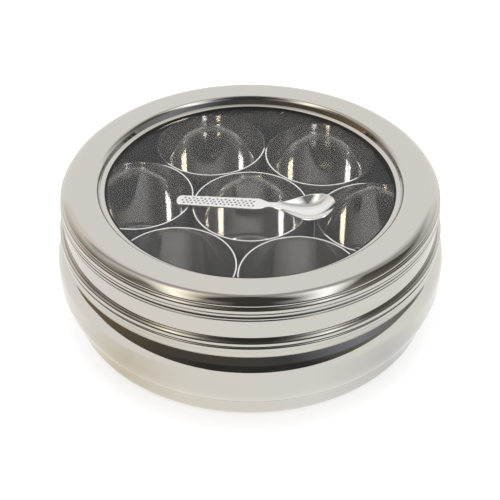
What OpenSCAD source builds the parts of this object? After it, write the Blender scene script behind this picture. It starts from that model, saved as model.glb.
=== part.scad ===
// Round steel spice box: a bellied box, a lid with a clear window, seven loose cups and a spoon.
// Millimetres, +Z up. The origin is the centre of the ring that the box stands on.

/* [Cups] */
// Outside diameter of a cup
cup_d = 59.2; // [44:0.1:72]
// Height of a cup
cup_h = 45; // [40:0.5:65]
// Steel thickness of a cup
cup_wall = 0.7; // [0.4:0.1:1]
// Radius between a cup's wall and its floor
cup_corner = 5; // [2:0.5:9]
// Gap between neighbouring cups
cup_gap = 0.6; // [0.4:0.1:3]
// Turn of the ring of cups about the middle
ring_turn = -9; // [-30:0.5:30]
// How far the cup on the right has slid out of the ring
cup_slide = 3.6; // [0:0.1:3.6]

/* [Box] */
// Steel thickness of the box, the lid and the window's holding ring
sheet = 0.6; // [0.5:0.1:0.9]
// Room between the ring of cups and the neck
cup_play = 4.1; // [4:0.1:10]
// How far the neck stands above the cups
neck_rise = 6.5; // [3:0.1:7.5]
// Height of the neck that the lid slides over
neck_h = 14.2; // [10:0.1:15]
// How far the upright band under the lid stands out past the neck
band_out = 2.7; // [2.5:0.1:3.5]
// Height of that band
band_h = 6; // [4:0.1:7]
// How far the band draws in towards its foot
band_taper = 0.5; // [0.2:0.1:1]
// How far each half of the band bulges
band_bulge = 0.12; // [0.05:0.01:0.3]
// Inside radius of the tight bends in the sheet
bend_r = 0.2; // [0.1:0.1:0.4]
// How far the belly stands out past the neck
belly_out = 5.5; // [4.5:0.1:12]
// Height of the belly's widest line where its lower curve ends
belly_z = 26; // [18:0.5:27]
// Height of the curve between the belly and the band under the lid
belly_top_h = 10; // [7:0.1:14]
// Height of the foot band below the belly
foot_h = 12.5; // [9.5:0.5:16]
// How far the top of the foot band lies inside the belly
foot_in = 4.6; // [2:0.1:8]
// How far the foot band leans in towards its corner
foot_lean = 0.7; // [0.2:0.1:2]
// Radius of the corner under the foot band
foot_corner = 7.5; // [4:0.5:9]
// Width of the flat ring that the box stands on
foot_flat = 3; // [2:0.5:4]
// How far the floor inside is raised above that ring
floor_lift = 11.4; // [9:0.1:12]
// How far the wall round the recess under the floor leans
floor_lean = 2; // [1:0.1:4]

/* [Lid] */
// Gap between the lid's skirt and the neck
lid_clear = 0.3; // [0.3:0.05:0.8]
// Gap between the lid's hem and the band that it sits on
hem_gap = 0.4; // [0.3:0.05:0.8]
// Radius of the rolled hem
hem_r = 1.3; // [1.2:0.1:2]
// Height of the upright stretch in the hem
hem_drop = 0.8; // [0.2:0.1:1.5]
// Width of the flat ring on top
flat_w = 9.9; // [7:0.1:15]
// Width from the flat ring to the skirt
shoulder_w = 6.3; // [5:0.1:8]
// How far the shoulder falls
shoulder_drop = 2.2; // [1.5:0.1:3]
// How far the shoulder bulges
shoulder_bulge = 0.45; // [0.2:0.05:0.8]
// Turn of the lip between the shoulder and the step, in degrees
lip_turn = 45; // [40:1:60]
// Height of the step below the shoulder
step_h = 0.9; // [0.5:0.1:1.5]
// Width of the flat at the foot of that step
step_flat = 0.1; // [0.05:0.05:0.5]
// Radius of the rib below the step
rib_r = 1.1; // [1:0.1:1.6]
// Height of the rib
rib_h = 2.6; // [2:0.1:3.5]
// Depth of the grooves under the rib and the bead
groove_in = 0.3; // [0.2:0.05:0.5]
// Height of a groove
groove_h = 0.6; // [0.4:0.1:1]
// Height of the upright strip between the upper groove and the bead
strip_h = 1.1; // [0.8:0.1:2]
// Height of the bead
bead_h = 2.1; // [1.6:0.1:3]
// How far the bead bulges
bead_bulge = 0.45; // [0.2:0.05:0.6]
// Radius of the edge round the window's well
well_edge = 3; // [2:0.1:3.6]
// Depth of the well above the ledge that covers the window's rim
well_h = 4; // [3.7:0.1:6]
// Lean of the well's wall, in degrees
well_lean = 22; // [15:1:28]
// Width of the ledge
ledge_w = 2.2; // [1.8:0.1:3]
// Width of the ledge's level inner part, which presses on the seal
ledge_flat = 0.6; // [0.4:0.1:0.8]
// How far the rest of the ledge falls towards the window
ledge_fall = 0.4; // [0.2:0.1:0.6]

/* [Window] */
// Room between the cups and the window
head_room = 9.7; // [8:0.1:14]
// Thickness of the clear disc
window_t = 3; // [2:0.1:4]
// How far the disc reaches under the lid outside the ledge's inner edge
window_seat = 6; // [5:0.1:6.3]
// Thickness of the seal between the ledge and the disc
seal_t = 0.4; // [0.3:0.1:1]
// How far the seal shows inside the ledge
seal_show = 1.1; // [0.5:0.1:3]
// Gap between the disc's rim and the ring that holds it
ring_clear = 0.3; // [0.2:0.05:0.6]
// How far the holding ring reaches under the disc
ring_lip = 3.4; // [2:0.1:4]
// Width of the flange that fixes the holding ring under the lid
ring_flange = 4.5; // [3:0.1:5]

/* [Spoon] */
// Length of the handle, from its end to the neck
handle_l = 48.4; // [40:0.2:56]
// Width of the handle at its end
handle_end_w = 7.9; // [5:0.1:9]
// Width of the handle where it is widest
handle_w = 9.3; // [7:0.1:12]
// Length of the stretch that narrows from the handle to the neck
waist_l = 7.4; // [5:0.2:15]
// Width of the neck
waist_w = 4.3; // [2.5:0.1:6]
// Length of the spoon's bowl
bowl_l = 32.6; // [26:0.2:36]
// Width of the spoon's bowl
bowl_w = 22.6; // [14:0.2:24]
// Depth of the spoon's bowl
bowl_depth = 3.1; // [2:0.1:3.6]
// Share of the bowl's length at which it is widest and deepest
bowl_widest = 0.69; // [0.5:0.01:0.75]
// How far the bowl's tip curls up
tip_rise = 3.9; // [2:0.1:4.5]
// How late along the bowl that curl comes
tip_curl = 2.7; // [1.5:0.1:3]
// Steel thickness of the spoon
spoon_t = 0.9; // [0.7:0.1:1.2]
// Gap between the spoon and the rims that it lies across
spoon_gap = 0.4; // [0.3:0.05:0.8]
// How far the bowl's middle lies inside the touching point of two cups
bowl_inset = 3; // [0:0.1:5]
// How far the spoon lies to the side of the line through three cups
spoon_aside = -2.2; // [-4:0.1:4]

/* [Hidden] */
CUPS = ["cup_centre", "cup_right", "cup_back_right", "cup_back_left", "cup_left", "cup_front_left",
    "cup_front_right"];

// Facets of a round in the preview
round_fn = 120;
// Steps of an arc in a profile, and of the longer arc under the hem
arc_steps = 8;
roll_steps = 10;
// Angle at which the sheet's end lies in the rolled hem
hem_end = -150;

// Widths, from the cups outwards
cup_r = cup_d / 2;
pitch = cup_d + cup_gap;
neck_r = pitch + cup_r + cup_play + sheet;
band_r = neck_r + band_out;
belly_r = neck_r + belly_out;
skirt_r = neck_r + lid_clear + sheet;
crease_r = belly_r - foot_in;
foot_r = crease_r - foot_lean - foot_corner;
floor_r = foot_r - foot_flat - floor_lean;
flat_out = skirt_r - shoulder_w;
flat_in = flat_out - flat_w;

// Heights, from the table upwards
floor_z = floor_lift + sheet;
rim_z = floor_z + cup_h;
neck_z = rim_z + neck_rise;
band_z = neck_z - neck_h;
hem_z = band_z + hem_gap + hem_r + hem_drop;
window_z = rim_z + head_room;
seal_z = window_z + window_t;
ledge_z = seal_z + seal_t + sheet;
lid_z = ledge_z + well_h;
flat_under_z = lid_z - sheet;

// Outside radius of the tight bends in the sheet
bend_out = bend_r + sheet;

// Points of an arc about c from angle a0 to a1
function arc(c, r, a0, a1, n = arc_steps) = [
    for (i = [0:n])
        let (a = a0 + (a1 - a0) * i / n)
        c + r * [cos(a), sin(a)]
];

// Unit vector to the left of the way from p to q
function left_of(p, q) =
    let (d = (q - p) / norm(q - p))
    [-d.y, d.x];

// Points of an arc from p to q that bulges by h to the left, or to the right where h is negative
function bow(p, q, h, n = arc_steps) =
    let (
        half = norm(q - p) / 2,
        r = (half * half + h * h) / (2 * h),
        along = (q - p) / (2 * half),
        left = left_of(p, q),
        c = (p + q) / 2 + (h - r) * left,
        span = asin(half / r)
    )
    [for (i = [0:n])
        let (a = span * (2 * i / n - 1))
        c + r * (cos(a) * left + sin(a) * along)];

// Radius of an arc that starts upright and draws in by d over a height h
function draw_in_r(d, h) = (d * d + h * h) / (2 * d);

// The same path without points that repeat
function clean(p) = [for (i = [0:len(p) - 1]) if (i == 0 || norm(p[i] - p[max(i - 1, 0)]) > 0.001) p[i]];

function backwards(p) = [for (i = [len(p) - 1:-1:0]) p[i]];

// The path moved by t to its left, with its corners kept sharp
function moved(p, t) =
    let (last = len(p) - 1)
    [for (i = [0:last])
        let (
            before = left_of(p[max(i - 1, 0)], p[max(i, 1)]),
            after = left_of(p[min(i, last - 1)], p[min(i + 1, last)])
        )
        p[i] + t * (before + after) / (1 + before * after)];

// Sheet metal spun round the Z axis: the path and the same path moved by t enclose the metal
module spun(path, t) {
    p = clean(path);
    rotate_extrude($fn = round_fn)
        polygon(concat(p, backwards(moved(p, t))));
}

// Outside of the box, from the middle of its underside to the top of its neck
function box_path() =
    let (
        low_r = draw_in_r(foot_in, belly_z - foot_h),
        belly_end = [band_r - band_taper, band_z - band_h],
        high_r = draw_in_r(belly_r - belly_end.x, belly_top_h),
        band_mid = [band_r - band_taper / 2, band_z - band_h / 2],
        band_top = [band_r, band_z - bend_out]
    )
    concat(
        [[0, floor_lift], [floor_r, floor_lift], [floor_r + floor_lean, 0]],
        arc([foot_r, foot_corner], foot_corner, -90, 0),
        arc([belly_r - low_r, belly_z], low_r, -asin((belly_z - foot_h) / low_r), 0),
        arc([belly_r - high_r, belly_end.y - belly_top_h], high_r, 0, asin(belly_top_h / high_r)),
        bow(belly_end, band_mid, -band_bulge),
        bow(band_mid, band_top, -band_bulge),
        arc(band_top - [bend_out, 0], bend_out, 0, 90),
        [[neck_r, band_z], [neck_r, neck_z]]
    );

// A groove down from p, with its foot straight below
function groove(p) = [p, p - [groove_in, groove_h / 2], p - [0, groove_h]];

// Outside of the lid, from the inner edge of its ledge over the top and down to the rolled hem
function lid_path() =
    let (
        edge = arc([flat_in, lid_z - well_edge], well_edge, 180 - well_lean, 90),
        wall_z = ledge_z + ledge_fall,
        wall_r = edge[0].x - (edge[0].y - wall_z) * tan(well_lean),
        ledge_in = wall_r - ledge_w,
        step_r = skirt_r - rib_r - step_flat,
        lip_c = [step_r - bend_out, lid_z - shoulder_drop - bend_out * sin(lip_turn)],
        lip = arc(lip_c, bend_out, lip_turn, 0),
        crown = bow([flat_out, lid_z], lip[0], shoulder_bulge),
        rib_z = lip_c.y - step_h,
        strip_z = rib_z - rib_h - groove_h,
        bead_z = strip_z - strip_h,
        hem_c = [skirt_r - sheet + hem_r, hem_z],
        hem_start = acos((sheet - hem_r) / hem_r)
    )
    concat(
        [[ledge_in, ledge_z], [ledge_in + ledge_flat, ledge_z], [wall_r, wall_z]],
        edge,
        crown,
        lip,
        [[step_r, rib_z]],
        arc([skirt_r - rib_r, rib_z - rib_r], rib_r, 90, 0),
        groove([skirt_r, rib_z - rib_h]),
        bow([skirt_r, bead_z], [skirt_r, bead_z - bead_h], bead_bulge),
        groove([skirt_r, bead_z - bead_h]),
        arc(hem_c, hem_r, hem_start, 0),
        arc(hem_c - [0, hem_drop], hem_r, 0, hem_end, roll_steps)
    );

// Inner edge of the ledge, and the disc and holding ring that lie outside it
ledge_r = lid_path()[0].x;
window_r = ledge_r + window_seat;
ring_r = window_r + ring_clear;

// Underside of the holding ring: under the disc, up its rim, and out under the lid
function ring_path() =
    let (wall_r = ring_r + sheet)
    [
        [window_r - ring_lip, window_z - sheet],
        [wall_r, window_z - sheet],
        [wall_r, flat_under_z - sheet],
        [wall_r + ring_flange, flat_under_z - sheet]
    ];

function cup_path() =
    concat(
        [[0, 0]],
        arc([cup_r - cup_corner, cup_corner], cup_corner, -90, 0),
        [[cup_r, cup_h]]
    );

// Place of a cup: the first in the middle and the others in a ring round it. The one on the right has slid out,
// and the last two have swung round the middle, up to it
function cup_place(i) =
    let (
        r = i == 1 ? pitch + cup_slide : pitch,
        swing = i < len(CUPS) - 2 ? 0 : 60 - acos((pitch + cup_slide) / (2 * pitch)),
        a = ring_turn + 60 * (i - 1) + swing
    )
    i == 0 ? [0, 0, floor_z] : [r * cos(a), r * sin(a), floor_z];

module outer_bowl() color("silver") spun(box_path(), sheet);

module lid_shell() color("gainsboro") spun(lid_path(), -sheet);

module window() color([0.85, 0.92, 0.95, 0.4])
    translate([0, 0, window_z]) cylinder(r = window_r, h = window_t, $fn = round_fn);

module window_seal() color("black")
    translate([0, 0, seal_z]) difference() {
        cylinder(r = window_r, h = seal_t, $fn = round_fn);
        translate([0, 0, -1]) cylinder(r = ledge_r - seal_show, h = seal_t + 2, $fn = round_fn);
    }

module window_ring() color("silver") spun(ring_path(), sheet);

module cup(i) color("lightgray") translate(cup_place(i)) spun(cup_path(), cup_wall);

// Spoon, along its own axis: the bowl's middle is bowl_inset short of two cups' touching point
waist_x = pitch / 2 - bowl_inset - bowl_l / 2;
tip_x = waist_x + bowl_l;
bowl_mid = waist_x + bowl_widest * bowl_l;
end_x = waist_x - handle_l;
handle_seat = cup_r - pitch;
end_round = handle_end_w / 4;
tip_half = 0.4;

// Share of the way from a to b, from 0 to 1
function share(x, a, b) = max(0, min(1, (x - a) / (b - a)));

// Smooth step from 0 to 1
function ease(t) = (1 - cos(180 * t)) / 2;

// Half of an ellipse, from 1 in the middle to 0 at the end
function oval(t) = sqrt(max(0, 1 - t * t));

// Half the spoon's width at x
function spoon_half(x) =
    let (
        end = oval(1 - share(x, end_x, end_x + end_round)),
        widest_x = waist_x - waist_l,
        handle = handle_end_w + (handle_w - handle_end_w) * share(x, end_x, widest_x),
        to_waist = handle + (waist_w - handle) * ease(share(x, widest_x, waist_x)),
        to_bowl = to_waist + (bowl_w - waist_w) * ease(share(x, waist_x, bowl_mid)),
        round_end = min(end, oval(share(x, bowl_mid, tip_x)))
    )
    tip_half + (to_bowl / 2 - tip_half) * round_end;

// Depth of the spoon's bowl at x
function spoon_dip(x) =
    let (out = share(x, bowl_mid, tip_x))
    bowl_depth * ease(share(x, waist_x, bowl_mid)) * (1 - out * out);

// How far the curl lifts the bowl's edge at x
function tip_lift(x) = tip_rise * pow(share(x, waist_x, tip_x), tip_curl);

// Rise of the handle from the rim under it to the neck, for which the bowl clears the middle cup's rim
handle_rise = spoon_dip(cup_r) - tip_lift(cup_r);

// Height of the spoon's edge at x
function spoon_edge_z(x) =
    rim_z + spoon_gap + spoon_t + handle_rise * min(1, (x - handle_seat) / (waist_x - handle_seat)) + tip_lift(x);

// A point on top of the spoon: x along it and v from -1 to 1 across it
function spoon_point(x, v) =
    [x, v * spoon_half(x), spoon_edge_z(x) - spoon_dip(x) * (1 - v * v)];

// A grid of points, row by row, as one solid: the top first and then the same points moved down
module plate(top, rows, columns, t) {
    count = rows * columns;
    bottom = [for (p = top) p - [0, 0, t]];
    rim = concat(
        [for (j = [0:columns - 2]) j],
        [for (i = [0:rows - 2]) i * columns + columns - 1],
        [for (j = [columns - 1:-1:1]) (rows - 1) * columns + j],
        [for (i = [rows - 1:-1:1]) i * columns]
    );
    faces = concat(
        [for (i = [0:rows - 2], j = [0:columns - 2])
            let (a = i * columns + j, b = a + columns)
            each [[a, a + 1, b], [b, a + 1, b + 1],
                [count + a, count + b, count + a + 1], [count + b, count + b + 1, count + a + 1]]],
        [for (k = [0:len(rim) - 1])
            let (a = rim[k], b = rim[(k + 1) % len(rim)])
            each [[a, count + a, b], [b, count + a, count + b]]]
    );
    polyhedron(concat(top, bottom), faces);
}

module spoon() color("silver") {
    rows = 48;
    columns = 9;
    top = [
        for (i = [0:rows - 1], j = [0:columns - 1])
            let (x = (end_x + tip_x) / 2 - (tip_x - end_x) / 2 * cos(180 * i / (rows - 1)))
            spoon_point(x, 2 * j / (columns - 1) - 1)
    ];
    rotate([0, 0, ring_turn])
        translate([0, spoon_aside, 0])
            plate(top, rows, columns, spoon_t);
}

outer_bowl();
lid_shell();
window();
window_seal();
window_ring();
for (i = [0:len(CUPS) - 1])
    cup(i);
spoon();
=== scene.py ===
"""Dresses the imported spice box: spun steel box, lid and cups, a clear window and a stamped spoon."""
import math

import bpy
import numpy as np
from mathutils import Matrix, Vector


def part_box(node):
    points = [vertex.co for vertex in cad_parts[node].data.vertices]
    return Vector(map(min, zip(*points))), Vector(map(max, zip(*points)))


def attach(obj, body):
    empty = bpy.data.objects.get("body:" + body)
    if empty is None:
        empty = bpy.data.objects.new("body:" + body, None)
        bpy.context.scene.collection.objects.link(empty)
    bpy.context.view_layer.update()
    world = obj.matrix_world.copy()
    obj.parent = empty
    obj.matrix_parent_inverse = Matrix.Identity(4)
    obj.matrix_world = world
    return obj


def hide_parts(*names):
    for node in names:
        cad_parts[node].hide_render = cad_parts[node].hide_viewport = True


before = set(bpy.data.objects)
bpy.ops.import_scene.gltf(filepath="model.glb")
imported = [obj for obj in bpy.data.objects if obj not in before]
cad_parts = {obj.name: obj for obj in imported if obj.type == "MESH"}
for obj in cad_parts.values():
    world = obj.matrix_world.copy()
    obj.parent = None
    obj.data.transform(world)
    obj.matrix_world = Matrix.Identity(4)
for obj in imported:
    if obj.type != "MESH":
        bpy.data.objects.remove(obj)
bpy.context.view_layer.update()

# Lengths are in metres
MM = 0.001

# How finely the spun pieces are meshed
BOX_STEPS = 192
CUP_STEPS = 96
ARC_SPLIT = 3
STRAIGHT_TURN = math.radians(1)
CORNER_TURN = math.radians(38)
SHARP_TURN = math.radians(50)
CORNER_CUT = 0.07 * MM
CORNER_SHARE = 0.35
ON_SEAM = 0.01 * MM
ON_AXIS = 0.001 * MM

# Camera, from the perspective of the round edges in the photograph
IMAGE_SIZE = 500
CAMERA_ELEVATION = math.radians(39.05)
CAMERA_DISTANCE = 0.6
CAMERA_TARGET_Z = 27.92 * MM
CAMERA_NEAR = 10 * MM
FOCAL_PIXELS = 1138.4
AXIS_PIXEL_X = 250.38
SENSOR = 36.0

# Colours of steel, glass and rubber
STEEL_WARM = (0.65, 0.615, 0.56, 1)
STEEL_GREEN = (0.62, 0.61, 0.55, 1)
STEEL_COOL = (0.62, 0.61, 0.59, 1)
CUP_LIGHT = (0.54, 0.535, 0.525, 1)
CUP_DARK = (0.46, 0.455, 0.445, 1)
# The colour of the painted highlight along the cups' rims
CUP_RIM_PAINTED_HIGHLIGHT = (0.82, 0.82, 0.8, 1)
SPOON_LIGHT = (0.87, 0.86, 0.84, 1)
SPOON_HAZE = (0.8, 0.79, 0.77, 1)
# The colour of the painted shade in the spoon's stamped dents
SPOON_DENT_PAINTED_SHADE = (0.15, 0.145, 0.14, 1)
PANE_CLEAR = (0.97, 0.975, 0.985, 1)
PANE_DUSTY = (0.93, 0.935, 0.95, 1)
RUBBER_DARK = (0.006, 0.006, 0.006, 1)
RUBBER_GREY = (0.015, 0.015, 0.014, 1)

# Share of metal where a surface is a little satin, and what the pane is made of
BOWL_INSIDE_METAL = 0.8
CUP_METAL = 0.93
PANE_DUST = 0.002
PANE_IOR = 1.06
PANE_SPECULAR = 0.08

# Spots, waves and lines in the materials, by the metre
STEEL_TINTS = 9
STEEL_CLOUDS = 28
SHEET_WAVES = 45
POLISHING_LINES = 2600
CUP_CLOUDS = 40
DRAWN_LINES = 900
SPOON_CLOUDS = 180
SPOON_GRAIN = 2400
DUST_SPOTS = 60
RUBBER_GRAIN = 900

# How sharply the clouds part the tints, and how many times longer than wide the drawn lines are
CLOUD_CONTRAST = (-0.4, 1.4)
DRAWN_STRETCH = 50

# Roughness, from the smoothest spots to the dullest
STEEL_ROUGH = (0.035, 0.075)
CUP_ROUGH = (0.04, 0.08)
SPOON_ROUGH = (0.03, 0.07)
RUBBER_ROUGH = (0.45, 0.7)

# Bumps in the surfaces: how strongly each shows, and how deep it is
WAVE_BUMP = (1.0, 0.06 * MM)
POLISHING_BUMP = (0.05, 0.02 * MM)
DRAWN_BUMP = (0.15, 0.02 * MM)
SPOON_BUMP = (0.06, 0.02 * MM)
RUBBER_BUMP = (0.2, 0.05 * MM)

# How far below the cups' rims a painted highlight starts to lighten them, and where it is full
RIM_HIGHLIGHT_FROM = 0.5 * MM
RIM_HIGHLIGHT_FULLY = 0.2 * MM


# Profiles of the spun solids

def axis_of(node):
    """Where the upright axis of a spun solid stands."""
    low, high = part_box(node)
    return (low + high) / 2


def seam_pairs(node):
    """The solid's edges in the half plane from its axis towards +X, as pairs of (radius, height)."""
    axis = axis_of(node)
    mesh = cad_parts[node].data
    places = {}
    for vertex in mesh.vertices:
        out = vertex.co - axis
        if abs(out.y) < ON_SEAM and out.x > 0:
            places[vertex.index] = (round(out.x, 6), round(vertex.co.z, 6))
    pairs = set()
    for edge in mesh.edges:
        ends = [places.get(i) for i in edge.vertices]
        if None not in ends and ends[0] != ends[1]:
            pairs.add(frozenset(ends))
    return pairs


def close_flats(pairs):
    """Adds the flat rings and discs, which have no edge in the half plane. Each joins ends at one height."""
    uses = {}
    for pair in pairs:
        for point in pair:
            uses[point] = uses.get(point, 0) + 1
    loose = {}
    for point, count in uses.items():
        if count == 1:
            loose.setdefault(point[1], []).append(point)
    closed = set(pairs)
    for height, points in loose.items():
        closed.add(frozenset(points if len(points) == 2 else (points[0], (0.0, height))))
    return closed


def profile_of(node):
    """The solid's outline in the half plane, as points in order, and whether it is a closed loop."""
    near = {}
    for pair in close_flats(seam_pairs(node)):
        first, second = pair
        near.setdefault(first, []).append(second)
        near.setdefault(second, []).append(first)
    ends = sorted(point for point, others in near.items() if len(others) == 1)
    start = ends[0] if ends else min(near)
    path = [start]
    before = None
    while True:
        onward = [p for p in near[path[-1]] if p != before]
        if not onward or onward[0] == start:
            break
        before = path[-1]
        path.append(onward[0])
    return [Vector(p) for p in path], not ends


# Smoothing of the profiles

def turn_between(a, b):
    return a.angle(b) if a.length and b.length else 0.0


def is_corner(path, i, closed):
    if not closed and i in (0, len(path) - 1):
        return True
    before = path[i] - path[i - 1]
    after = path[(i + 1) % len(path)] - path[i]
    return turn_between(before, after) > CORNER_TURN


def tangent_at(path, i):
    """Direction of the curve at a smooth point. A long straight run counts for more than a short chord."""
    before = path[i] - path[i - 1]
    after = path[(i + 1) % len(path)] - path[i]
    return (before * before.length + after * after.length).normalized()


def span_points(a, b, ta, tb):
    """Points from a, short of b, on the curve that leaves a along ta and reaches b along tb."""
    chord = b - a
    along = chord.normalized()
    if ta is None and tb is None:
        return [a]
    if ta is None:
        ta = 2 * along.dot(tb) * along - tb
    if tb is None:
        tb = 2 * along.dot(ta) * along - ta
    if turn_between(ta, tb) < STRAIGHT_TURN:
        return [a]
    points = []
    for k in range(ARC_SPLIT):
        t = k / ARC_SPLIT
        h00 = 2 * t ** 3 - 3 * t ** 2 + 1
        h10 = t ** 3 - 2 * t ** 2 + t
        h01 = 3 * t ** 2 - 2 * t ** 3
        h11 = t ** 3 - t ** 2
        points.append(h00 * a + h10 * chord.length * ta + h01 * b + h11 * chord.length * tb)
    return points


def smoothed(path, closed):
    """The profile with its chords bent to arcs. Sharp corners stay, and are marked True."""
    count = len(path)
    tangents = [None if is_corner(path, i, closed) else tangent_at(path, i) for i in range(count)]
    result = []
    for i in range(count if closed else count - 1):
        j = (i + 1) % count
        span = span_points(path[i], path[j], tangents[i], tangents[j])
        result += [(p, k == 0 and tangents[i] is None) for k, p in enumerate(span)]
    if not closed:
        result.append((path[-1], True))
    return result


def eased(marked, closed):
    """The profile with each sharp corner cut back to a small round."""
    count = len(marked)
    result = []
    for i, (point, corner) in enumerate(marked):
        if not corner or (not closed and i in (0, count - 1)):
            result.append(point)
            continue
        before = marked[i - 1][0] - point
        after = marked[(i + 1) % count][0] - point
        cut = min(CORNER_CUT, CORNER_SHARE * before.length, CORNER_SHARE * after.length)
        start = point + cut * before.normalized()
        end = point + cut * after.normalized()
        result += [start, (start + end + 2 * point) / 4, end]
    return result


def rings_of(profile, steps):
    """The points of a profile spun round the axis, and the numbers of each ring: one point on the axis."""
    vertices = []
    rings = []
    for point in profile:
        if point.x < ON_AXIS:
            rings.append([len(vertices)] * steps)
            vertices.append((0, 0, point.y))
            continue
        rings.append(list(range(len(vertices), len(vertices) + steps)))
        for k in range(steps):
            angle = 2 * math.pi * k / steps
            vertices.append((point.x * math.cos(angle), point.x * math.sin(angle), point.y))
    return vertices, rings


def spun(name, node, steps):
    """A smooth piece with the profile of a spun solid, standing where the solid stands."""
    path, closed = profile_of(node)
    vertices, rings = rings_of(eased(smoothed(path, closed), closed), steps)
    faces = []
    for i in range(len(rings) if closed else len(rings) - 1):
        low, high = rings[i], rings[(i + 1) % len(rings)]
        for k in range(steps):
            m = (k + 1) % steps
            corners = [low[k], low[m], high[m], high[k]]
            faces.append(list(dict.fromkeys(corners)))
    obj = solid_from(name, vertices, faces)
    axis = axis_of(node)
    obj.location = (axis.x, axis.y, 0)
    return obj


def solid_from(name, vertices, faces):
    """A closed smooth piece, with its faces turned outwards."""
    mesh = bpy.data.meshes.new(name)
    mesh.from_pydata([tuple(v) for v in vertices], [], faces)
    mesh.validate()
    if signed_volume(vertices, faces) < 0:
        mesh.flip_normals()
    mesh.shade_smooth()
    mesh.set_sharp_from_angle(angle=SHARP_TURN)
    obj = bpy.data.objects.new(name, mesh)
    bpy.context.scene.collection.objects.link(obj)
    even = obj.modifiers.new("even_normals", "WEIGHTED_NORMAL")
    even.keep_sharp = True
    return obj


def signed_volume(vertices, faces):
    """Six times the volume inside the faces, below 0 where they look inwards."""
    total = 0.0
    for face in faces:
        a = Vector(vertices[face[0]])
        for second, third in zip(face[1:], face[2:]):
            total += a.dot(Vector(vertices[second]).cross(Vector(vertices[third])))
    return total


# Nodes of the materials

class Nodes:
    """The node tree of a material or world, with short calls to fill it."""

    def __init__(self, owner, surface):
        owner.use_nodes = True
        self.owner = owner
        self.tree = owner.node_tree
        self.surface = self.tree.nodes[surface]

    def add(self, kind, settings=None, **inputs):
        made = self.tree.nodes.new(kind)
        for key, value in (settings or {}).items():
            setattr(made, key, value)
        for key, value in inputs.items():
            self.set(made, key, value)
        return made

    def set(self, made, key, value):
        """Links or sets an input, which is given by its name, or by i and its number."""
        numbered = key[0] == "i" and key[1:].isdigit()
        socket = made.inputs[int(key[1:]) if numbered else key.replace("_", " ")]
        if isinstance(value, bpy.types.NodeSocket):
            self.tree.links.new(value, socket)
        else:
            socket.default_value = value

    def put(self, **inputs):
        """Links or sets inputs of the shader itself."""
        for key, value in inputs.items():
            self.set(self.surface, key, value)

    def math(self, operation, a, b=0.0):
        return self.add("ShaderNodeMath", {"operation": operation}, i0=a, i1=b).outputs[0]

    def measure(self, operation, *vectors):
        """The number that an operation on vectors gives."""
        made = self.add("ShaderNodeVectorMath", {"operation": operation})
        for i, vector in enumerate(vectors):
            self.set(made, f"i{i}", vector)
        return made.outputs["Value"]

    def noise(self, vector, scale, detail=3.0):
        made = self.add("ShaderNodeTexNoise", Vector=vector, Scale=scale, Detail=detail, Roughness=0.5)
        return made.outputs["Fac"]

    def bump(self, height, strength, depth, **under):
        made = self.add("ShaderNodeBump", Strength=strength, Distance=depth, Height=height, **under)
        return made.outputs[0]

    def between(self, factor, low, high):
        """low where the factor is 0, and high where it is 1."""
        return self.add("ShaderNodeMapRange", Value=factor, To_Min=low, To_Max=high).outputs[0]

    def share(self, value, low, high):
        """0 up to low, and 1 from high on."""
        return self.add("ShaderNodeMapRange", Value=value, From_Min=low, From_Max=high).outputs[0]

    def mixed(self, factor, first, second, blend="MIX"):
        """A blend of two colours, which go in at sockets 6 and 7 and come out at 2."""
        made = self.add("ShaderNodeMix", {"data_type": "RGBA", "blend_type": blend})
        self.set(made, "i0", factor)
        self.set(made, "i6", first)
        self.set(made, "i7", second)
        return made.outputs[2]

    def place(self):
        return self.add("ShaderNodeTexCoord").outputs["Object"]

    def apart(self, vector):
        made = self.add("ShaderNodeSeparateXYZ", Vector=vector)
        return made.outputs["X"], made.outputs["Y"], made.outputs["Z"]

    def round_the_axis(self, place):
        """Radius and height, so that what is drawn with it runs round the axis in rings."""
        x, y, z = self.apart(place)
        flat = self.add("ShaderNodeCombineXYZ", X=x, Y=y).outputs[0]
        return self.add("ShaderNodeCombineXYZ", X=self.measure("LENGTH", flat), Y=z).outputs[0]

    def facing_axis(self):
        """1 on the faces that look towards the piece's axis, and 0 on the others."""
        made = self.add("ShaderNodeTexCoord")
        x, y, _ = self.apart(made.outputs["Object"])
        out = self.add("ShaderNodeCombineXYZ", X=x, Y=y).outputs[0]
        return self.math("LESS_THAN", self.measure("DOT_PRODUCT", out, made.outputs["Normal"]), 0.0)

    def colour_round(self, vector, stops):
        """Colour by the direction round the Z axis, in degrees to the right of the camera's side."""
        x, y, _ = self.apart(vector)
        angle = self.math("ARCTAN2", x, self.math("MULTIPLY", y, -1.0))
        ramp = self.add("ShaderNodeValToRGB", Fac=self.share(angle, -math.pi, math.pi))
        elements = ramp.color_ramp.elements
        while len(elements) < len(stops):
            elements.new(1.0)
        for element, (degrees, colour) in zip(elements, stops):
            element.position = (degrees + 180) / 360
            element.color = (*colour, 1)
        return ramp.outputs[0]

    def ray_is(self, kind):
        return self.add("ShaderNodeLightPath").outputs[f"Is {kind} Ray"]

    def mirrored(self):
        """1 for what steel mirrors and glass lets through, and 0 for the camera and for soft light."""
        return self.math("MAXIMUM", self.ray_is("Glossy"), self.ray_is("Transmission"))


def new_material(name):
    return Nodes(bpy.data.materials.new(name), "Principled BSDF")


def dress(obj, material):
    obj.data.materials.clear()
    obj.data.materials.append(material)


# The spoon, along its own axis, with the sizes that its solid has
HANDLE_L = 48.4 * MM
HANDLE_END_W = 7.9 * MM
HANDLE_W = 9.3 * MM
WAIST_L = 7.4 * MM
WAIST_W = 4.3 * MM
BOWL_L = 32.6 * MM
BOWL_W = 22.6 * MM
BOWL_DEPTH = 3.1 * MM
BOWL_WIDEST = 0.69
BOWL_LIP = 0.07
BOWL_INSET = 3 * MM
TIP_RISE = 3.9 * MM
TIP_CURL = 2.7
TIP_HALF = 0.4 * MM
SPOON_T = 0.9 * MM
SPOON_GAP = 0.4 * MM
SPOON_ASIDE = -2.2 * MM
SPOON_EDGE_R = 0.3 * MM

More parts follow.
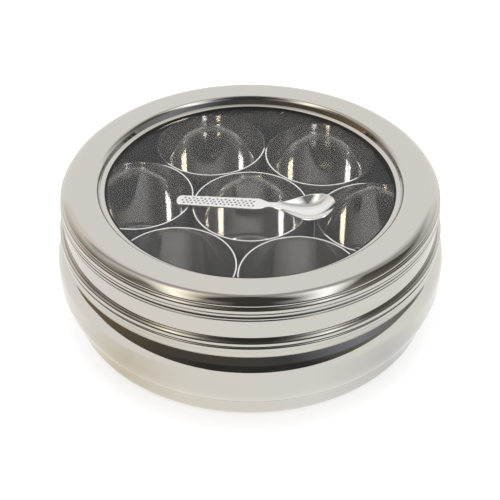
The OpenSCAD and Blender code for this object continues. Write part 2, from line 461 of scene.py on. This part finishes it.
# How finely the spoon is meshed
END_ROWS = 12
MIDDLE_ROWS = 300
TIP_ROWS = 40
SPOON_COLUMNS = 61

# The ring of cups that the spoon lies on
left_axis = axis_of("cup_left")
left_low, left_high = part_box("cup_left")
RING_TURN = math.atan2(-left_axis.y, -left_axis.x)
PITCH = left_axis.xy.length
CUP_R = (left_high.x - left_low.x) / 2
RIM_Z = left_high.z

# Places along the spoon, from the axis of the box
WAIST_X = PITCH / 2 - BOWL_INSET - BOWL_L / 2
TIP_X = WAIST_X + BOWL_L
BOWL_MID = WAIST_X + BOWL_WIDEST * BOWL_L
END_X = WAIST_X - HANDLE_L
END_ROUND = HANDLE_END_W / 4
HANDLE_SEAT = CUP_R - PITCH

# Stamped handle: staggered rows of small round dents inside a plain border
STAMP_FROM = END_X + 3 * MM
STAMP_TO = 3 * MM
STAMP_PITCH = 2.1 * MM
STAMP_ROWS_APART = 1.9 * MM
STAMP_DEPTH = 0.2 * MM
STAMP_R = 0.52 * MM
STAMP_BORDER = 1.3 * MM
STAMP_WOBBLE = 0.3 * MM
WOBBLE_ALONG = 3.1
WOBBLE_ACROSS = 1.9
STAMP_LAYER = "stamp"


def share(x, a, b):
    """0 up to a, and 1 from b on."""
    return np.clip((x - a) / (b - a), 0, 1)


def ease(t):
    return (1 - np.cos(np.pi * t)) / 2


def oval(t):
    return np.sqrt(np.maximum(0, 1 - t * t))


def spoon_half(x):
    """Half the spoon's width."""
    end = oval(1 - share(x, END_X, END_X + END_ROUND))
    widest = WAIST_X - WAIST_L
    handle = HANDLE_END_W + (HANDLE_W - HANDLE_END_W) * share(x, END_X, widest)
    to_waist = handle + (WAIST_W - handle) * ease(share(x, widest, WAIST_X))
    to_bowl = to_waist + (BOWL_W - WAIST_W) * ease(share(x, WAIST_X, BOWL_MID))
    round_end = np.minimum(end, oval(share(x, BOWL_MID, TIP_X)))
    return TIP_HALF + (to_bowl / 2 - TIP_HALF) * round_end


def spoon_dip(x):
    """How deep the bowl is along the spoon's middle."""
    out = share(x, BOWL_MID, TIP_X)
    return BOWL_DEPTH * ease(share(x, WAIST_X, BOWL_MID)) * (1 - out * out)


def tip_lift(x):
    return TIP_RISE * share(x, WAIST_X, TIP_X) ** TIP_CURL


def spoon_top(x, v):
    """Height of the spoon's upper face at x along it and v from -1 to 1 across it."""
    rise = spoon_dip(CUP_R) - tip_lift(CUP_R)
    climb = rise * np.minimum(1, (x - HANDLE_SEAT) / (WAIST_X - HANDLE_SEAT))
    inside = np.minimum(1, np.abs(v) / (1 - BOWL_LIP))
    return RIM_Z + SPOON_GAP + SPOON_T + climb + tip_lift(x) - spoon_dip(x) * (1 - inside * inside)


def stamp_depth(x, y):
    """Depth of the stamped dents below the handle's face."""
    row = np.round(y / STAMP_ROWS_APART)
    start = STAMP_FROM + (row % 2) * STAMP_PITCH / 2
    column = np.round((x - start) / STAMP_PITCH)
    dent_x = start + column * STAMP_PITCH
    wobble = STAMP_WOBBLE * np.sin(WOBBLE_ALONG * column + WOBBLE_ACROSS * row)
    apart = np.hypot(x - dent_x, y - row * STAMP_ROWS_APART - wobble)
    in_border = np.abs(row) * STAMP_ROWS_APART < spoon_half(dent_x) - STAMP_BORDER
    stamped = in_border & (dent_x >= STAMP_FROM) & (dent_x <= STAMP_TO)
    return np.where(stamped, STAMP_DEPTH * np.exp(-(apart / STAMP_R) ** 2), 0)


def spoon_grid():
    """Places along the spoon, and from -1 to 1 across it, closer together at its ends and edges."""
    quarter = np.pi / 2
    end = END_X + END_ROUND * (1 - np.cos(np.linspace(0, quarter, END_ROWS)))
    middle = np.linspace(END_X + END_ROUND, BOWL_MID, MIDDLE_ROWS)
    tip = BOWL_MID + (TIP_X - BOWL_MID) * np.sin(np.linspace(0, quarter, TIP_ROWS))
    along = np.concatenate([end, middle[1:], tip[1:]])
    across = np.sin(np.linspace(-quarter, quarter, SPOON_COLUMNS))
    return np.meshgrid(along, across, indexing="ij")


def spoon_rows():
    """Rows of points round the spoon's section, and how deep each point is stamped, from 0 to 1."""
    x, v = spoon_grid()
    y = v * spoon_half(x)
    to_edge = (1 - np.abs(v)) * spoon_half(x)
    body = oval(1 - np.clip(to_edge / SPOON_EDGE_R, 0, 1))
    core = spoon_top(x, v) - SPOON_T / 2
    dents = stamp_depth(x, y) * body
    upper = np.stack([x, y, core + SPOON_T / 2 * body - dents], axis=-1)
    lower = np.stack([x, y, core - SPOON_T / 2 * body], axis=-1)[:, -2:0:-1]
    recess = np.concatenate([dents / STAMP_DEPTH, np.zeros_like(lower[:, :, 0])], axis=1)
    return np.concatenate([upper, lower], axis=1), recess


def joined_rows(count, width):
    """Faces that join closed rows of points, each to the next, with a cap on both ends."""
    faces = []
    for i in range(count - 1):
        for k in range(width):
            m = (k + 1) % width
            faces.append([i * width + k, i * width + m, (i + 1) * width + m, (i + 1) * width + k])
    faces.append(list(range(width)))
    faces.append(list(range((count - 1) * width, count * width)))
    return faces


def build_spoon():
    """A spoon of stamped sheet with a rounded edge."""
    rows, recess = spoon_rows()
    obj = solid_from("spoon_stamped", rows.reshape(-1, 3), joined_rows(*rows.shape[:2]))
    layer = obj.data.attributes.new(STAMP_LAYER, "FLOAT", "POINT")
    layer.data.foreach_set("value", recess.ravel())
    obj.rotation_euler.z = RING_TURN
    obj.location = Vector((-math.sin(RING_TURN), math.cos(RING_TURN), 0)) * SPOON_ASIDE
    return obj


# Materials of the pieces

def spun_steel(name, satin_inside):
    """Bright spun steel: soft tints, a slow wave in the sheet, and fine polishing lines round the axis."""
    s = new_material(name)
    place = s.place()
    tint = s.mixed(s.noise(place, STEEL_TINTS, 2), STEEL_WARM, STEEL_GREEN)
    cloud = s.noise(place, STEEL_CLOUDS, 4)
    s.put(Base_Color=s.mixed(s.between(cloud, *CLOUD_CONTRAST), tint, STEEL_COOL))
    s.put(Metallic=s.between(s.facing_axis(), 1.0, BOWL_INSIDE_METAL) if satin_inside else 1.0)
    s.put(Roughness=s.between(cloud, *STEEL_ROUGH))
    wave = s.bump(s.noise(place, SHEET_WAVES, 1), *WAVE_BUMP)
    rings = s.noise(s.round_the_axis(place), POLISHING_LINES, 2)
    s.put(Normal=s.bump(rings, *POLISHING_BUMP, Normal=wave))
    return s.owner


def drawn_steel(name):
    """The cups' steel: faint upright lines from the drawing die, and a painted highlight along the rim."""
    s = new_material(name)
    place = s.place()
    stretched = s.add("ShaderNodeMapping", Vector=place, Scale=(1, 1, 1 / DRAWN_STRETCH)).outputs[0]
    upright = s.noise(stretched, DRAWN_LINES, 2)
    wall = s.mixed(upright, CUP_LIGHT, CUP_DARK)
    height = s.apart(place)[2]
    # Painted highlight: the base colour turns bright just under the rim
    rim = s.share(height, RIM_Z - RIM_HIGHLIGHT_FROM, RIM_Z - RIM_HIGHLIGHT_FULLY)
    s.put(Base_Color=s.mixed(rim, wall, CUP_RIM_PAINTED_HIGHLIGHT), Metallic=CUP_METAL)
    s.put(Roughness=s.between(s.noise(place, CUP_CLOUDS, 3), *CUP_ROUGH))
    s.put(Normal=s.bump(upright, *DRAWN_BUMP))
    return s.owner


def stamped_steel(name):
    """The spoon's steel: polished, with a little haze from use and painted shade in the stamped dents."""
    s = new_material(name)
    place = s.place()
    haze = s.noise(place, SPOON_CLOUDS, 4)
    recess = s.add("ShaderNodeAttribute", {"attribute_name": STAMP_LAYER}).outputs["Fac"]
    bright = s.mixed(haze, SPOON_LIGHT, SPOON_HAZE)
    # Painted shade: the base colour darkens with the depth of the stamped dents
    s.put(Base_Color=s.mixed(recess, bright, SPOON_DENT_PAINTED_SHADE), Metallic=1.0)
    s.put(Roughness=s.between(haze, *SPOON_ROUGH))
    s.put(Normal=s.bump(s.noise(place, SPOON_GRAIN, 2), *SPOON_BUMP))
    return s.owner


def clear_glass(name):
    """Clear pane under a trace of dust."""
    s = new_material(name)
    dust = s.noise(s.place(), DUST_SPOTS, 4)
    s.put(Base_Color=s.mixed(dust, PANE_CLEAR, PANE_DUSTY), Transmission_Weight=1 - PANE_DUST)
    s.put(IOR=PANE_IOR, Specular_IOR_Level=PANE_SPECULAR, Roughness=0.0)
    return s.owner


def black_rubber(name):
    """Matt black rubber with a fine grain."""
    s = new_material(name)
    grain = s.noise(s.place(), RUBBER_GRAIN, 3)
    s.put(Base_Color=s.mixed(grain, RUBBER_DARK, RUBBER_GREY))
    s.put(Roughness=s.between(grain, *RUBBER_ROUGH))
    s.put(Normal=s.bump(grain, *RUBBER_BUMP))
    return s.owner


# Pieces

bowl_steel = spun_steel("bright_spun_steel_satin_inside", True)
lid_steel = spun_steel("bright_spun_steel", False)
cup_steel = drawn_steel("drawn_cup_steel")

spun_pieces = [("bowl_spun", "outer_bowl", "box", "polished_steel", bowl_steel, BOX_STEPS),
               ("lid_spun", "lid_shell", "lid", "polished_steel", lid_steel, BOX_STEPS)]
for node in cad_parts:
    if node.startswith("cup_"):
        spun_pieces.append((node + "_drawn", node, node, "cup_steel", cup_steel, CUP_STEPS))

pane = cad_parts["window"]
inner_pieces = [pane]
for name, node, body, slot, material, steps in spun_pieces:
    piece = spun(name, node, steps)
    if material is cup_steel:
        inner_pieces.append(piece)
    dress(piece, material)
    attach(piece, body)
    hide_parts(node)

spoon = build_spoon()
dress(spoon, stamped_steel("spoon_steel_polished"))
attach(spoon, "spoon")
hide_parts("spoon")
inner_pieces.append(spoon)

dress(pane, clear_glass("clear_pane"))
pane.visible_shadow = False
dress(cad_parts["window_seal"], black_rubber("black_seal_rubber"))
dress(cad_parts["window_ring"], lid_steel)


# Stage

FLOOR_HALF = 4.0
PAPER_FRONT = 0.178
PAPER_NEAR = 0.12
PAPER_FAR = 0.15
PAPER_GLOW = 0.4
TABLE_LIFT = 0.2 * MM
TABLE_BLOTCHES = 22
BLOTCH_CONTRAST = (-0.6, 1.2)
WHITE = (1, 1, 1, 1)
BLACK = (0, 0, 0, 1)
PAPER_PALE = (0.9, 0.9, 0.9, 1)
PAPER_WHITE = (1.0, 0.985, 0.955, 1)
BACKDROP = (0.97, 0.96, 0.95, 1)
SHELF = (0.45, 0.44, 0.43, 1)
CEILING = (0.06, 0.058, 0.056, 1)

# What comes in through the pane is brighter than the room by this
THROUGH_PANE = (0.05, 0.05, 0.05, 1)

# The paper close to the box, the table in front of it and the room round it: warm on the left, dark in front
# and cool on the right. On the paper this is painted light and shade: a warm pool of light on the left and
# grey shade on the right. Each colour stands at its degrees to the right of the camera's side
PAPER_PAINTED_LIGHT_AND_SHADE = [(-70, (1.0, 0.98, 0.95)), (-45, (0.83, 0.76, 0.63)), (-22, (1.0, 0.97, 0.91)),
               (22, (1.0, 0.99, 0.96)), (50, (0.78, 0.79, 0.80)), (75, (1.0, 1.0, 1.0))]
TABLE = [(-80, (0.20, 0.15, 0.10)), (-20, (0.03, 0.03, 0.025)),
         (25, (0.03, 0.03, 0.03)), (70, (0.3, 0.3, 0.25))]
HORIZON = [(-135, (0.9, 0.87, 0.83)), (-100, (0.22, 0.16, 0.10)), (-50, (0.09, 0.08, 0.06)),
           (20, (0.07, 0.07, 0.07)), (60, (0.27, 0.28, 0.32)), (95, (0.2, 0.19, 0.17)),
           (135, (0.9, 0.89, 0.87))]
UPPER_ROOM = [(-135, (0.9, 0.85, 0.8)), (-80, (0.16, 0.14, 0.11)), (-48, (0.6, 0.55, 0.48)),
              (-10, (0.05, 0.05, 0.04)), (15, (0.05, 0.05, 0.055)), (42, (0.55, 0.55, 0.6)),
              (75, (0.17, 0.15, 0.12)), (115, (0.08, 0.07, 0.06)), (150, (0.8, 0.8, 0.78))]

# Where each part of the room starts or ends, and where it does so fully. The numbers say how far
# a direction points up or back, from 0 to 1
UPPER_STARTS = (0.45, 0.6)
CEILING_STARTS = (0.86, 0.94)
SHELF_LOWEST = (0.6, 0.7)
SHELF_STARTS = (0.32, 0.38)
SHELF_ENDS = (0.56, 0.5)
BACKDROP_STARTS = (0.66, 0.72)

# Two long ceiling lights, one each side, that spread apart towards the camera
CEILING_LIGHTS = [(1, (1.7, 1.7, 1.7, 1)), (-1, (1.7, 1.6, 1.4, 1))]
LIGHT_SPLAY = 0.47
LIGHT_INNER = 0.14
LIGHT_OUTER = 0.42
LIGHT_EDGE = 0.25
LIGHT_LOWEST = (0.6, 0.75)
LIGHT_ENDS = (0.4, 0.2)
LEAST_UP = 0.2

# Lamps: how far off and how wide they are, then the name of each, its degrees to the right of the camera
# and above the table, its power and its colour
LAMP_DISTANCE = 1.1
LAMP_SIZE = 0.4
LAMPS = [("lamp_white", 44, 36, 5, (1, 0.98, 0.96)), ("lamp_warm", -50, 36, 5, (1, 0.87, 0.62))]
PANE_LAMP = ("lamp_pane", 0, 90, 140, (1, 1, 1))


def floor_material():
    """White paper: the camera sees a faint shadow on it. The steel mirrors it glowing evenly white away from
    the box, with painted warm light and grey shade close to the box.
    """
    s = new_material("white_paper")
    mirrored = s.mirrored()
    place = s.place()
    radius = s.apart(s.round_the_axis(place))[0]
    far = s.share(radius, PAPER_NEAR, PAPER_FAR)
    # Painted light and shade on the paper close to the box, where the steel mirrors it
    paper = s.mixed(far, s.colour_round(place, PAPER_PAINTED_LIGHT_AND_SHADE), PAPER_WHITE)
    glow = s.math("MULTIPLY", s.ray_is("Camera"), PAPER_GLOW)
    s.put(Base_Color=s.mixed(mirrored, PAPER_PALE, BLACK), Roughness=1.0, Specular_IOR_Level=0.0)
    s.put(Emission_Color=s.mixed(mirrored, WHITE, paper), Emission_Strength=s.math("ADD", glow, mirrored))
    return s.owner


def table_material():
    """The table beyond the paper, with soft blotches."""
    s = new_material("dark_table")
    place = s.place()
    blotch = s.between(s.noise(place, TABLE_BLOTCHES, 3), *BLOTCH_CONTRAST)
    s.put(Base_Color=BLACK, Roughness=1.0, Specular_IOR_Level=0.0)
    s.put(Emission_Color=s.mixed(blotch, s.colour_round(place, TABLE), CEILING), Emission_Strength=1.0)
    return s.owner


def stage_sheet(name, front, back, height, material):
    """A level sheet as wide as the floor."""
    corners = [(-FLOOR_HALF, front, height), (FLOOR_HALF, front, height),
               (FLOOR_HALF, back, height), (-FLOOR_HALF, back, height)]
    mesh = bpy.data.meshes.new(name)
    mesh.from_pydata(corners, [], [(0, 1, 2, 3)])
    obj = bpy.data.objects.new(name, mesh)
    bpy.context.scene.collection.objects.link(obj)
    dress(obj, material)
    return obj


def build_stage():
    """White paper under the box. It ends in front of the box, where the steel mirrors the table."""
    stage_sheet("floor", -FLOOR_HALF, FLOOR_HALF, 0, floor_material())
    table = stage_sheet("dark_table", -FLOOR_HALF, -PAPER_FRONT, TABLE_LIFT, table_material())
    table.visible_camera = False
    table.visible_diffuse = False
    table.visible_shadow = False


def ceiling_light(w, direction, side):
    """How far a direction lies in the long ceiling light on one side, from 0 to 1."""
    x, y, z = w.apart(direction)
    height = w.math("MAXIMUM", z, LEAST_UP)
    across = w.math("ADD", w.math("MULTIPLY", x, side), w.math("MULTIPLY", y, LIGHT_SPLAY))
    out = w.math("DIVIDE", across, height)
    inner = w.share(out, LIGHT_INNER, LIGHT_INNER + LIGHT_EDGE)
    outer = w.share(out, LIGHT_OUTER + LIGHT_EDGE, LIGHT_OUTER)
    ends = w.math("MULTIPLY", w.share(z, *LIGHT_LOWEST), w.share(y, *LIGHT_ENDS))
    return w.math("MULTIPLY", w.math("MULTIPLY", inner, outer), ends)


def room_colour(w, direction):
    """What steel and glass mirror: a dark room with a shelf, two ceiling lights and a white backdrop."""
    _, back, up = w.apart(direction)
    low = w.colour_round(direction, HORIZON)
    high = w.colour_round(direction, UPPER_ROOM)
    walls = w.mixed(w.share(up, *UPPER_STARTS), low, high)
    room = w.mixed(w.share(up, *CEILING_STARTS), walls, CEILING)
    over = w.math("MULTIPLY", w.share(back, *SHELF_STARTS), w.share(back, *SHELF_ENDS))
    room = w.mixed(w.math("MULTIPLY", over, w.share(up, *SHELF_LOWEST)), room, SHELF)
    for side, colour in CEILING_LIGHTS:
        room = w.mixed(ceiling_light(w, direction, side), room, colour)
    return w.mixed(w.share(back, *BACKDROP_STARTS), room, BACKDROP)


def build_world():
    """White all round for the camera and the floor, and the room for steel and glass."""
    world = bpy.data.worlds.new("studio")
    bpy.context.scene.world = world
    w = Nodes(world, "Background")
    world.cycles.sampling_method = "NONE"
    room = room_colour(w, w.add("ShaderNodeTexCoord").outputs["Generated"])
    seen = w.mixed(w.ray_is("Transmission"), room, THROUGH_PANE, "ADD")
    w.put(Color=w.mixed(w.mirrored(), WHITE, seen))


def lamp(name, azimuth, elevation, power, colour, lit):
    """A soft round lamp that points at the box and lights only the given pieces."""
    light = bpy.data.lights.new(name, "AREA")
    light.shape = "DISK"
    light.size = LAMP_SIZE
    light.energy = power
    light.color = colour
    obj = bpy.data.objects.new(name, light)
    side = math.radians(azimuth)
    above = math.radians(elevation)
    level = LAMP_DISTANCE * math.cos(above)
    obj.location = (level * math.sin(side), -level * math.cos(side), LAMP_DISTANCE * math.sin(above))
    aim = Vector((0, 0, CAMERA_TARGET_Z)) - obj.location
    obj.rotation_euler = aim.to_track_quat("-Z", "Y").to_euler()
    obj.visible_camera = False
    bpy.context.scene.collection.objects.link(obj)
    group = bpy.data.collections.new(name + "_lights")
    for piece in lit:
        group.objects.link(piece)
    obj.light_linking.receiver_collection = group
    return obj


def build_lamps():
    """A white and a warm lamp light what stands under the window, and one overhead the dust on the pane."""
    for settings in LAMPS:
        lamp(*settings, inner_pieces)
    overhead = lamp(*PANE_LAMP, [pane])
    overhead.visible_glossy = False
    overhead.visible_transmission = False


def build_camera():
    """A camera at the photograph's place, with its framing."""
    data = bpy.data.cameras.new("camera")
    data.sensor_width = SENSOR
    data.lens = FOCAL_PIXELS * SENSOR / IMAGE_SIZE
    data.shift_x = -(AXIS_PIXEL_X - IMAGE_SIZE / 2) / IMAGE_SIZE
    data.clip_start = CAMERA_NEAR
    obj = bpy.data.objects.new("camera", data)
    target = Vector((0, 0, CAMERA_TARGET_Z))
    out = Vector((0, -math.cos(CAMERA_ELEVATION), math.sin(CAMERA_ELEVATION)))
    obj.location = target + CAMERA_DISTANCE * out
    obj.rotation_euler = (-out).to_track_quat("-Z", "Y").to_euler()
    bpy.context.scene.collection.objects.link(obj)
    bpy.context.scene.camera = obj


build_stage()
build_world()
build_lamps()
build_camera()
bpy.context.scene.view_settings.view_transform = "Standard"
